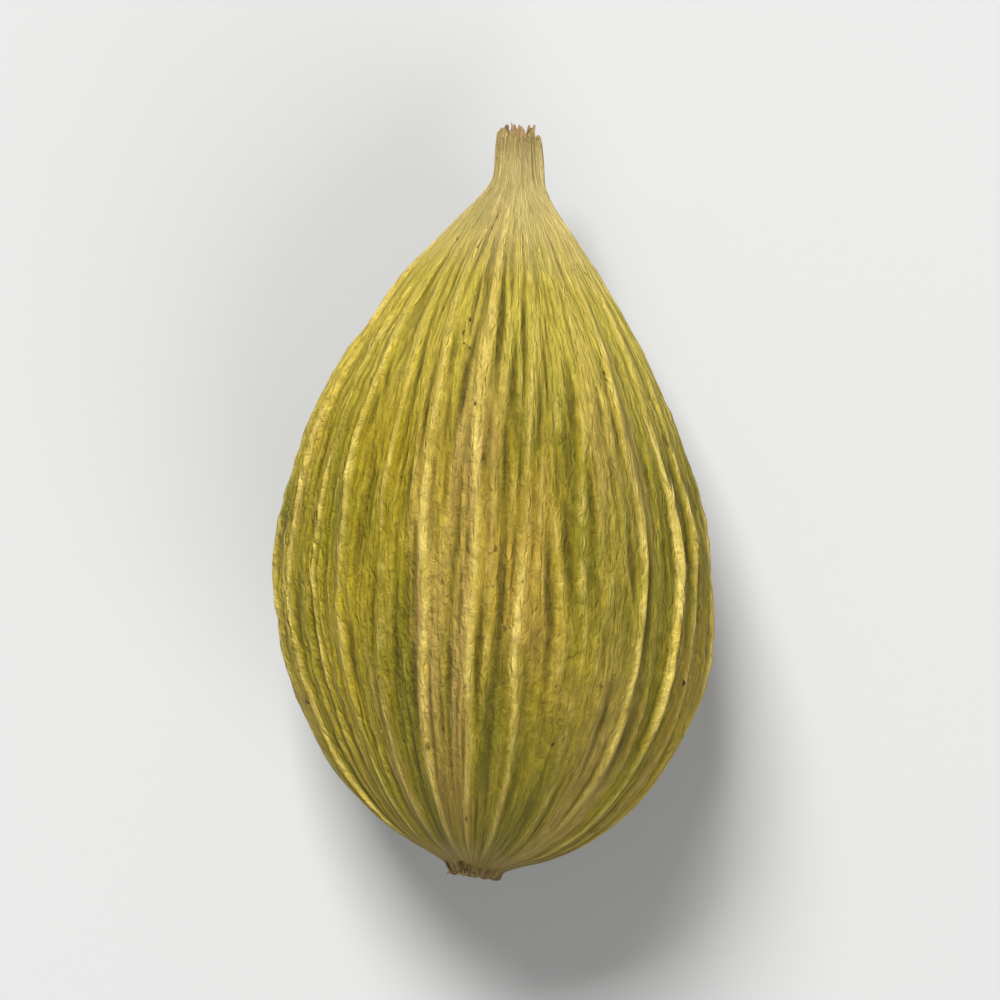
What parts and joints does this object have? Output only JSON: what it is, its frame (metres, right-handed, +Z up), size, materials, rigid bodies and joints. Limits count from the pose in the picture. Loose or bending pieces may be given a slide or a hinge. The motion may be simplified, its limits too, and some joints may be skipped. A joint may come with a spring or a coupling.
{
  "type": "green cardamom pod",
  "caption": "Dried spice pod with blunt angles and lengthwise ribs, a short hollow beak at one end and a stalk scar at the other, lying on its side.",
  "frame": {"origin": "under the middle of the pod's box, on the surface that the pod rests on", "axes": "+Y along the pod towards its beak, +Z up, +X to the right when seen from above with the beak at the top"},
  "size_m": [0.0086, 0.0146, 0.008],
  "materials": {
    "husk": "dry, matt, fibrous olive-green husk with paler straw-coloured ribs and beak"
  },
  "bodies": {
    "root": {"pod": "husk"}
  },
  "joints": []
}
